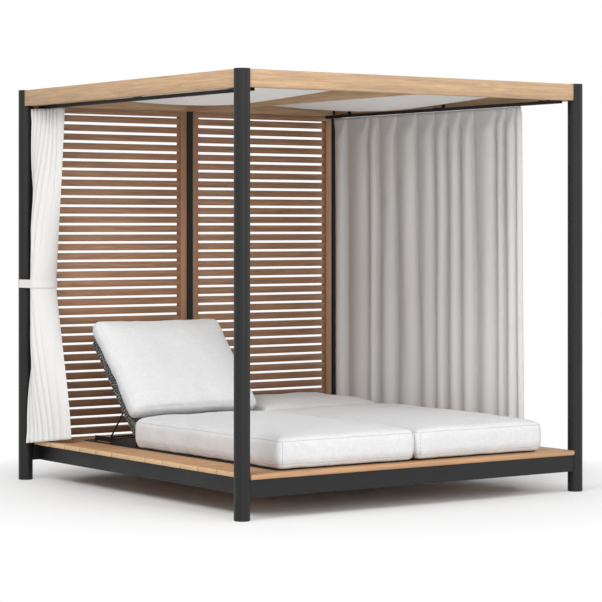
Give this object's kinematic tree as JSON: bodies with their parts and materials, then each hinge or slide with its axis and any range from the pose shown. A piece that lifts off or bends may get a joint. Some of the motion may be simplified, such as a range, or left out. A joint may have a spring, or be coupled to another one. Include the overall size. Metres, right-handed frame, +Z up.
{
  "type": "outdoor daybed with canopy",
  "caption": "Square pavilion daybed: round posts, wooden beams, sagging cloth canopy, slatted deck, louvred back, side curtains and twin reclining cushioned chaises.",
  "frame": {"origin": "on the ground under the middle of the frame", "axes": "+Z up, the open front and the foot end of the cushions towards -Y, the louvred wall at +Y, +X to the right seen from the front"},
  "size_m": [2.3472, 2.3992, 2.3],
  "materials": {
    "charcoal_frame": "charcoal powder coat, fine texture, low sheen",
    "beam_wood": "pale oiled teak with straight grain",
    "deck_wood": "oiled teak boards, weathered a little",
    "louvre_wood": "brown stained teak slats",
    "canopy_cloth": "white outdoor awning cloth",
    "curtain_cloth": "off-white woven outdoor curtain cloth",
    "cushion_cloth": "light grey-white woven outdoor cushion cloth",
    "woven_rope": "dark flat rope weave",
    "chaise_metal": "charcoal powder coat",
    "glider_plastic": "off-white moulded nylon"
  },
  "bodies": {
    "root": {"post_front_left": "charcoal_frame", "post_front_right": "charcoal_frame", "post_back_left": "charcoal_frame", "post_back_right": "charcoal_frame", "bottom_rail_front": "charcoal_frame", "bottom_rail_back": "charcoal_frame", "bottom_rail_left": "charcoal_frame", "bottom_rail_right": "charcoal_frame", "deck_joist_left": "charcoal_frame", "deck_joist_middle": "charcoal_frame", "deck_joist_right": "charcoal_frame", "mullion": "charcoal_frame", "curtain_track_left": "charcoal_frame", "curtain_track_right": "charcoal_frame", "top_beam_front": "beam_wood", "top_beam_back": "beam_wood", "top_beam_left": "beam_wood", "top_beam_right": "beam_wood", "rafter": "beam_wood", "deck_nosing": "deck_wood", "deck_board_1": "deck_wood", "deck_board_2": "deck_wood", "deck_board_3": "deck_wood", "deck_board_4": "deck_wood", "deck_board_5": "deck_wood", "deck_board_6": "deck_wood", "deck_board_7": "deck_wood", "deck_board_8": "deck_wood", "deck_board_9": "deck_wood", "deck_board_10": "deck_wood", "deck_board_11": "deck_wood", "deck_board_12": "deck_wood", "louvre_panel_left": "louvre_wood", "louvre_panel_right": "louvre_wood", "canopy": "canopy_cloth", "curtain_left": "curtain_cloth", "curtain_right": "curtain_cloth", "tieback_band": "curtain_cloth", "seat_cushion_left": "cushion_cloth", "seat_cushion_right": "cushion_cloth", "chaise_base_left": "chaise_metal", "chaise_base_right": "chaise_metal", "pivot_rod_left": "chaise_metal", "pivot_rod_right": "chaise_metal", "glider_left_1": "glider_plastic", "glider_left_2": "glider_plastic", "glider_right_6": "glider_plastic"},
    "backrest_left": {"backrest_frame_left": "chaise_metal", "woven_back_left": "woven_rope"},
    "back_pad_left": {"back_cushion_left": "cushion_cloth"},
    "prop_left": {"prop_bail_left": "chaise_metal"},
    "backrest_right": {"backrest_frame_right": "chaise_metal", "woven_back_right": "woven_rope"},
    "back_pad_right": {"back_cushion_right": "cushion_cloth"},
    "prop_right": {"prop_bail_right": "chaise_metal"},
    "glider_1": {"glider_right_1": "glider_plastic"},
    "glider_2": {"glider_right_2": "glider_plastic"},
    "glider_3": {"glider_right_3": "glider_plastic"},
    "glider_4": {"glider_right_4": "glider_plastic"},
    "glider_5": {"glider_right_5": "glider_plastic"}
  },
  "joints": [
    {"name": "backrest_recline_left", "type": "hinge", "parent": "root", "child": "backrest_left", "pos_m": [-0.45, 0.338, 0.268], "axis": [1, 0, 0], "range_deg": [-47, 13]},
    {"name": "cushion_slide_left", "type": "slide", "parent": "backrest_left", "child": "back_pad_left", "axis": [0, 0.682, 0.7314], "range_m": [-0.12757, 0.03565]},
    {"name": "prop_swing_left", "type": "hinge", "parent": "backrest_left", "child": "prop_left", "pos_m": [-0.45, 0.52078, 0.464], "axis": [1, 0, 0], "range_deg": [-26.2, 94.2]},
    {"name": "backrest_recline_right", "type": "hinge", "parent": "root", "child": "backrest_right", "pos_m": [0.45, 0.338, 0.268], "axis": [1, 0, 0], "range_deg": [0, 60]},
    {"name": "cushion_slide_right", "type": "slide", "parent": "backrest_right", "child": "back_pad_right", "axis": [0, 1, 0], "range_m": [0, 0.16271]},
    {"name": "prop_swing_right", "type": "hinge", "parent": "backrest_right", "child": "prop_right", "pos_m": [0.45, 0.606, 0.268], "axis": [1, 0, 0], "range_deg": [-120.2, 0]},
    {"name": "curtain_draw", "type": "slide", "parent": "root", "child": "glider_1", "axis": [0, 1, 0], "range_m": [0, 1.4], "deforming": ["curtain_right"]},
    {"name": "curtain_glider_2_slide", "type": "slide", "parent": "root", "child": "glider_2", "axis": [0, 1, 0], "range_m": [0, 1.1205]},
    {"name": "curtain_glider_3_slide", "type": "slide", "parent": "root", "child": "glider_3", "axis": [0, 1, 0], "range_m": [0, 0.8405]},
    {"name": "curtain_glider_4_slide", "type": "slide", "parent": "root", "child": "glider_4", "axis": [0, 1, 0], "range_m": [0, 0.5605]},
    {"name": "curtain_glider_5_slide", "type": "slide", "parent": "root", "child": "glider_5", "axis": [0, 1, 0], "range_m": [0, 0.2805]}
  ],
  "couplings": [
    {"joint": "cushion_slide_left", "follows": "backrest_recline_left", "m_per_rad": 0.1549},
    {"joint": "prop_swing_left", "follows": "backrest_recline_left", "ratio": -2},
    {"joint": "cushion_slide_right", "follows": "backrest_recline_right", "m_per_rad": 0.1549},
    {"joint": "prop_swing_right", "follows": "backrest_recline_right", "ratio": -2},
    {"joint": "curtain_glider_2_slide", "follows": "curtain_draw", "ratio": 0.8},
    {"joint": "curtain_glider_3_slide", "follows": "curtain_draw", "ratio": 0.6},
    {"joint": "curtain_glider_4_slide", "follows": "curtain_draw", "ratio": 0.4},
    {"joint": "curtain_glider_5_slide", "follows": "curtain_draw", "ratio": 0.2}
  ]
}
